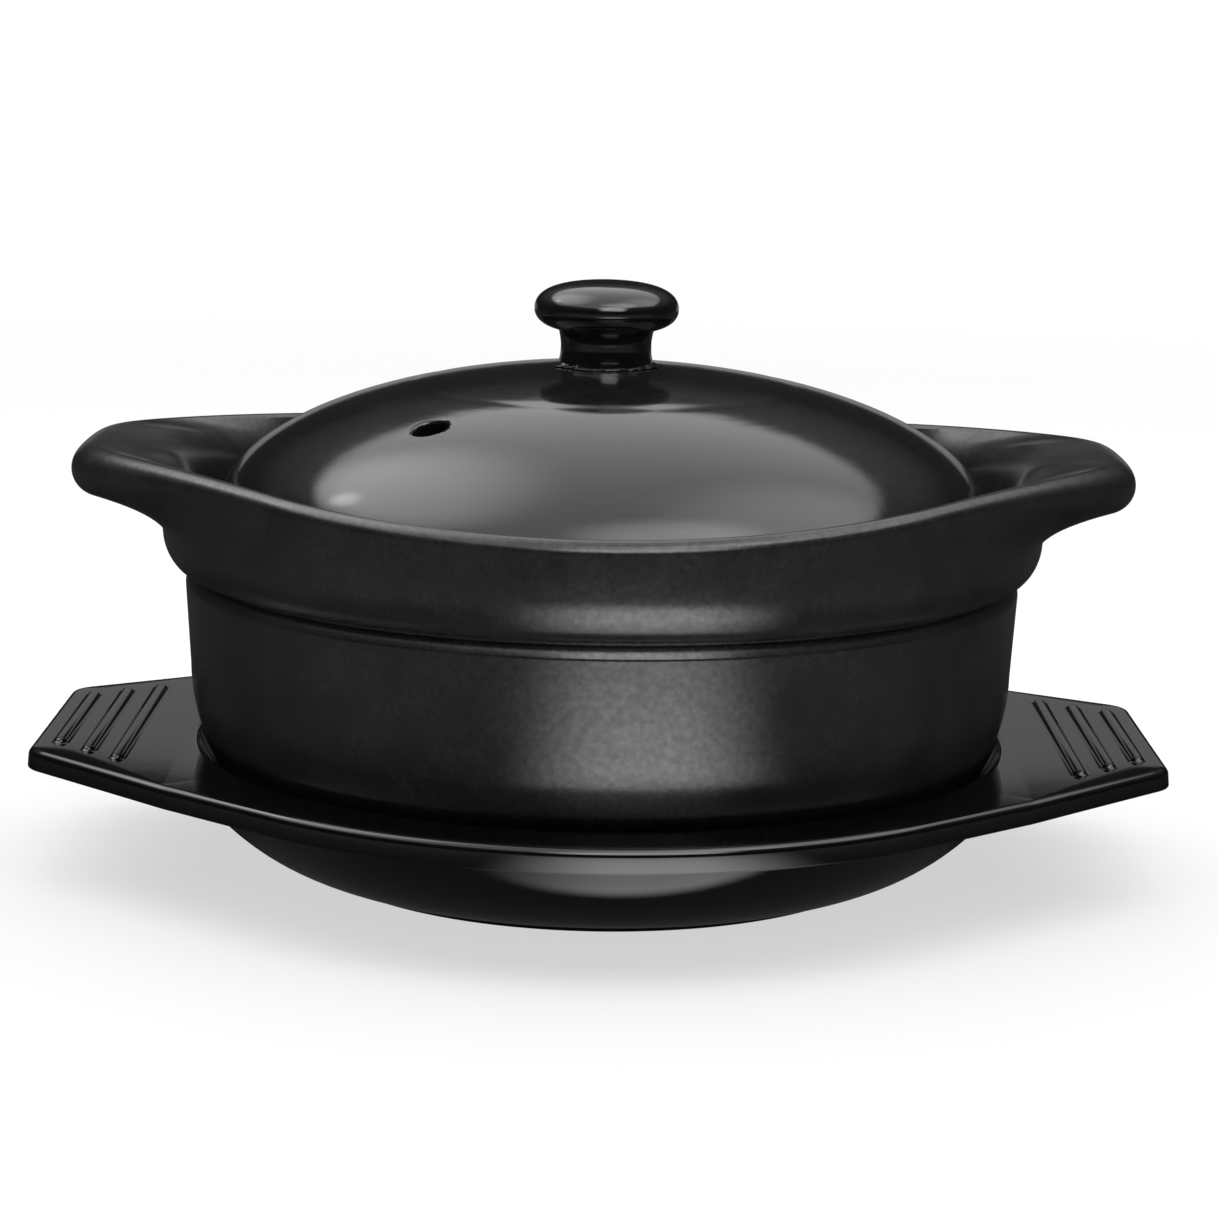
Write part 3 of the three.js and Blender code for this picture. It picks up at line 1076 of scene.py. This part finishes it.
    def build(self) -> Mesh:
        """Spins the round section, draws the wings out of it and adds the ribs.

        Returns:
            The tray's mesh.
        """
        mesh = spun(self.section(QUARTER), self.steps)
        shape_round(mesh, self.section)
        self.add_ribs(mesh)
        return mesh


@dataclass
class Lamp:
    """Softbox that lights the object without showing in it."""

    name: str
    centre: tuple[float, float, float]
    size: Point
    radiance: float

    def build(self) -> bpy.types.Object:
        """Hangs the lamp, which faces down.

        Returns:
            The lamp.
        """
        lamp = bpy.data.lights.new(self.name, "AREA")
        lamp.shape = "RECTANGLE"
        lamp.size, lamp.size_y = self.size
        lamp.energy = 4.0 * self.radiance * self.size[0] * self.size[1]
        shown = bpy.data.objects.new(self.name, lamp)
        shown.location = self.centre
        bpy.context.scene.collection.objects.link(shown)
        Sight.LIGHT.limit(shown)
        LOG.info("lamp %s: radiance %.2f", self.name, self.radiance)
        return shown


@dataclass
class Card:
    """Flat glow with soft edges that the glossy surfaces mirror, such as a reflector card."""

    margin: ClassVar[float] = 1.0

    name: str
    centre: tuple[float, float, float]
    size: Point
    radiance: float
    fade: Point
    tilt: tuple[float, float, float] = (0.0, 0.0, 0.0)

    def glow(self, shader: Shader, x: Socket, y: Socket) -> Socket:
        """Adds the card's radiance.

        Args:
            shader: Material under construction.
            x: Distance across the card from its middle.
            y: Distance along the card from its middle.

        Returns:
            The radiance, which fades to 0 along the card's edges.
        """
        edges = []
        for value, size, fade in zip((x, y), self.size, self.fade):
            off = shader.math("ABSOLUTE", value)
            edges.append(shader.spread(off, (size / 2.0 - fade, 1.0), (size / 2.0, 0.0), smooth=True))
        return shader.math("MULTIPLY", shader.math("MULTIPLY", *edges), self.radiance)

    def build(self) -> bpy.types.Object:
        """Places the card, whose glow adds to what lies behind it.

        Returns:
            The card, seen by reflections only.
        """
        shader = Shader.material(self.name)
        place = shader.node("ShaderNodeTexCoord").outputs["Object"]
        across = shader.node("ShaderNodeSeparateXYZ", {"Vector": place}).outputs
        light = shader.node("ShaderNodeEmission", {"Strength": self.glow(shader, across["X"], across["Y"])})
        clear = shader.node("ShaderNodeBsdfTransparent")
        both = shader.node("ShaderNodeAddShader", {0: light.outputs[0], 1: clear.outputs[0]})
        mesh = bmesh.new()
        bmesh.ops.create_grid(mesh, x_segments=1, y_segments=1, size=0.5 * self.margin)
        bmesh.ops.scale(mesh, verts=mesh.verts, vec=(*self.size, 1.0))
        shown = Studio.place(self.name, mesh, shader.surface(both.outputs[0]))
        shown.location = self.centre
        shown.rotation_euler = [math.radians(angle) for angle in self.tilt]
        Sight.REFLECTIONS.limit(shown)
        LOG.info("card %s: radiance %.2f", self.name, self.radiance)
        return shown


@dataclass
class Spot:
    """Brighter patch in a softbox's face."""

    centre: Point
    reach: Point
    radiance: float

    def glow(self, shader: Shader, x: Socket, y: Socket) -> Socket:
        """Adds the patch's radiance.

        Args:
            shader: Material under construction.
            x: Distance across the face from its middle.
            y: Distance along the face from its middle.

        Returns:
            The radiance, which fades to 0 at the patch's reach.
        """
        squares = []
        for value, centre, reach in zip((x, y), self.centre, self.reach):
            off = shader.math("DIVIDE", shader.math("SUBTRACT", value, centre), reach)
            squares.append(shader.math("MULTIPLY", off, off))
        return shader.spread(shader.math("ADD", *squares), (0.0, self.radiance), (1.0, 0.0), smooth=True)


@dataclass
class Softbox(Card):
    """Face of a square softbox that hangs with its corners to the front, the back and the sides."""

    margin: ClassVar[float] = 1.15

    spots: tuple[Spot, ...] = ()
    bow: float = 1.1

    def glow(self, shader: Shader, x: Socket, y: Socket) -> Socket:
        """Adds the face's radiance with its brighter patches.

        Args:
            shader: Material under construction.
            x: Distance across the face from its middle.
            y: Distance along the face from its middle.

        Returns:
            The radiance, which ends along the face's slightly bowed sides.
        """
        parts = []
        for value, size in zip((x, y), self.size):
            off = shader.math("DIVIDE", shader.math("ABSOLUTE", value), size / 2.0)
            parts.append(shader.math("POWER", off, self.bow))
        fade = self.fade[0]
        total = shader.math("ADD", *parts)
        inside = shader.spread(total, (1.0 - fade, 1.0), (1.0 + fade, 0.0), smooth=True)
        glow: float | Socket = self.radiance
        for spot in self.spots:
            glow = shader.math("ADD", spot.glow(shader, x, y), glow)
        return shader.math("MULTIPLY", inside, glow)


@dataclass
class Studio:
    """Pale floor, white room and soft light, with a dark tent that only the glaze mirrors."""

    floor_radius: float = 8.0
    floor_colour: Colour = (0.9, 0.9, 0.9)
    floor_glow: float = 0.62
    floor_fade: Point = (0.35, 1.2)
    room_fill: float = 0.16
    tent_radius: float = 2.0
    tent_height: float = 2.2
    tent_dark: float = 0.02
    tent_glow: float = 0.18
    tent_fade: Point = (0.7, 1.4)
    table_dark: float = 0.05
    table_glow: float = 0.25
    table_fade: Point = (0.13, 0.32)
    table_sides: Point = (0.9, 1.7)
    fan_angle: float = math.radians(10.0)
    fan_edge: Point = (math.radians(5.0), math.radians(31.0))
    fan_reach: tuple[float, float, float, float] = (0.078, 0.082, 0.18, 0.50)
    fan_glow: tuple[Point, Point] = ((0.095, 1.7), (0.16, 4.8))
    fan_front: float = math.radians(3.5)
    lamps: tuple[Lamp, ...] = (Lamp("overhead_softbox", (0.0, 0.19, 0.70), (2.1, 1.4), 1.55),)
    cards: tuple[Card, ...] = (
        Softbox(
            "softbox_face",
            (-0.06, 0.0, 0.70),
            (2.04, 2.16),
            1.35,
            (0.08, 0.08),
            spots=(
                Spot((-0.40, 0.15), (0.43, 0.52), 2.2),
                Spot((-0.58, 0.24), (0.13, 0.09), 3.0),
                Spot((0.60, -0.10), (0.5, 0.5), 1.3),
                Spot((0.30, -0.44), (0.4, 0.32), 2.6),
            ),
        ),
        Card("front_box", (0.16, -0.72, 0.52), (0.75, 0.42), 5.0, (0.2, 0.1), (45.0, 0.0, 0.0)),
        Card("back_card", (0.0, 0.34, 0.100), (0.54, 0.052), 0.27, (0.07, 0.008), (90.0, 0.0, 0.0)),
    )

    @staticmethod
    def seen_as_white(shader: Shader) -> Socket:
        """Adds the test for rays that see the white room: camera, glossy and transmission rays.

        Args:
            shader: Node tree under construction.

        Returns:
            A value of 1 for those rays and 0 for the others.
        """
        path = shader.node("ShaderNodeLightPath").outputs
        seen = shader.math("MAXIMUM", path["Is Camera Ray"], path["Is Glossy Ray"])
        return shader.math("MAXIMUM", seen, path["Is Transmission Ray"])

    @staticmethod
    def from_axis(shader: Shader) -> Socket:
        """Adds the distance from the object's own axis and returns it."""
        place = shader.node("ShaderNodeTexCoord").outputs["Object"]
        return shader.node("ShaderNodeVectorMath", {0: place}, operation="LENGTH").outputs["Value"]

    @staticmethod
    def place(name: str, mesh: Mesh, material: bpy.types.Material) -> bpy.types.Object:
        """Links a studio mesh to the scene.

        Args:
            name: Object name.
            mesh: Its mesh.
            material: Its material.

        Returns:
            The object, linked to the scene with its material.
        """
        shown = linked(name, mesh)
        shown.data.materials.append(material)
        return shown

    def add_floor(self) -> None:
        """Adds the pale floor, which keeps the casserole's shadow and turns white in the distance."""
        shader = Shader.material("pale_floor")
        matt = shader.node("ShaderNodeBsdfDiffuse", {"Color": (*self.floor_colour, 1.0)})
        white = shader.node("ShaderNodeEmission", {"Color": (1.0, 1.0, 1.0, 1.0), "Strength": 1.0})
        near, far = self.floor_fade
        glow = shader.spread(self.from_axis(shader), (near, self.floor_glow), (far, 1.0), smooth=True)
        share = shader.math("MULTIPLY", self.seen_as_white(shader), glow)
        blend = shader.node("ShaderNodeMixShader", {0: share, 1: matt.outputs[0], 2: white.outputs[0]})
        mesh = bmesh.new()
        bmesh.ops.create_circle(mesh, cap_ends=True, radius=self.floor_radius, segments=96)
        self.place("floor", mesh, shader.surface(blend.outputs[0]))

    def add_tent(self) -> None:
        """Adds the dark tent that keeps the white room out of the black glaze."""
        cloth = Shader.material("dark_tent")
        place = cloth.node("ShaderNodeTexCoord").outputs["Object"]
        height = cloth.node("ShaderNodeSeparateXYZ", {"Vector": place}).outputs["Z"]
        low, high = self.tent_fade
        glow = cloth.spread(height, (low, self.tent_dark), (high, self.tent_glow))
        light = cloth.node("ShaderNodeEmission", {"Strength": glow})
        tent = bmesh.new()
        size = {"radius1": self.tent_radius, "radius2": self.tent_radius, "depth": self.tent_height}
        bmesh.ops.create_cone(tent, cap_ends=True, segments=96, **size)
        bmesh.ops.translate(tent, verts=tent.verts, vec=(0.0, 0.0, self.tent_height / 2.0 - 0.01))
        shown = self.place("tent", tent, cloth.surface(light.outputs[0]))
        Sight.REFLECTIONS.limit(shown)

    def add_table(self) -> None:
        """Adds the grey table with a fan of white card on it that the pot and the tray mirror."""
        shader = Shader.material("grey_table")
        place = shader.node("ShaderNodeTexCoord").outputs["Object"]
        radius = self.from_axis(shader)
        across = shader.node("ShaderNodeSeparateXYZ", {"Vector": place}).outputs
        turn = shader.math("ARCTAN2", across["X"], shader.math("MULTIPLY", across["Y"], -1.0))
        near, far = self.table_fade
        front, back = self.table_sides
        base = shader.spread(radius, (near, self.table_dark), (far, self.table_glow), smooth=True)
        side = shader.spread(shader.math("ABSOLUTE", turn), (front, 1.0), (back, 0.2), smooth=True)
        off = shader.math("ABSOLUTE", shader.math("SUBTRACT", turn, self.fan_angle))
        inner, outer = self.fan_edge
        first, start, end, last = self.fan_reach
        ahead = shader.math(
            "SUBTRACT",
            shader.math("MULTIPLY", across["X"], math.sin(self.fan_front)),
            shader.math("MULTIPLY", across["Y"], math.cos(self.fan_front)),
        )
        fan = shader.spread(ahead, *self.fan_glow)
        for fade in (
            shader.spread(off, (inner, 1.0), (outer, 0.0), smooth=True),
            shader.spread(ahead, (first, 0.0), (start, 1.0), smooth=True),
            shader.spread(radius, (end, 1.0), (last, 0.0), smooth=True),
        ):
            fan = shader.math("MULTIPLY", fan, fade)
        glow = shader.math("MULTIPLY_ADD", base, side, fan)
        light = shader.node("ShaderNodeEmission", {"Strength": glow})
        mesh = bmesh.new()
        bmesh.ops.create_circle(mesh, cap_ends=True, radius=self.tent_radius, segments=96)
        bmesh.ops.translate(mesh, verts=mesh.verts, vec=(0.0, 0.0, 0.2 * MM))
        shown = self.place("table", mesh, shader.surface(light.outputs[0]))
        Sight.REFLECTIONS.limit(shown)

    def add_room(self) -> None:
        """Sets the world: white where it is seen, a dim fill where it lights."""
        world = bpy.data.worlds.new("white_room")
        bpy.context.scene.world = world
        shader = Shader(world)
        fill = shader.node("ShaderNodeBackground", {"Strength": self.room_fill})
        white = shader.node("ShaderNodeBackground", {"Color": (1.0, 1.0, 1.0, 1.0), "Strength": 1.0})
        seen = self.seen_as_white(shader)
        blend = shader.node("ShaderNodeMixShader", {0: seen, 1: fill.outputs[0], 2: white.outputs[0]})
        shader.node("ShaderNodeOutputWorld", {"Surface": blend.outputs[0]})

    def build(self) -> None:
        """Sets the studio up."""
        self.add_floor()
        self.add_tent()
        self.add_table()
        self.add_room()
        for thing in (*self.lamps, *self.cards):
            thing.build()
        bpy.context.scene.view_settings.view_transform = "Standard"


@dataclass
class PhotoCamera:
    """Camera at the photograph's place, fitted to the silhouette."""

    place: tuple[float, float, float] = (1.48 * MM, -699.0 * MM, 185.09 * MM)
    pitch: float = math.radians(10.667)
    roll: float = math.radians(1.02)
    lens: float = 99.82

    def build(self) -> bpy.types.Object:
        """Sets the scene's camera.

        Returns:
            The camera.
        """
        data = bpy.data.cameras.new("photo_camera")
        data.lens = self.lens
        data.sensor_width = 36.0
        shown = bpy.data.objects.new("photo_camera", data)
        look = Matrix.Rotation(QUARTER - self.pitch, 4, "X") @ Matrix.Rotation(self.roll, 4, "Z")
        shown.matrix_world = Matrix.Translation(self.place) @ look
        bpy.context.scene.collection.objects.link(shown)
        bpy.context.scene.camera = shown
        return shown


def main() -> None:
    """Builds the pieces, the studio and the camera, and logs face counts and radiances."""
    logging.basicConfig(level=logging.INFO, format="%(name)s %(message)s")
    for piece in (Tray(), Pot(), Lid(), Knob(), GlazeSeam()):
        piece.dress(piece.build())
    Studio().build()
    PhotoCamera().build()


if __name__ == "__main__":
    main()
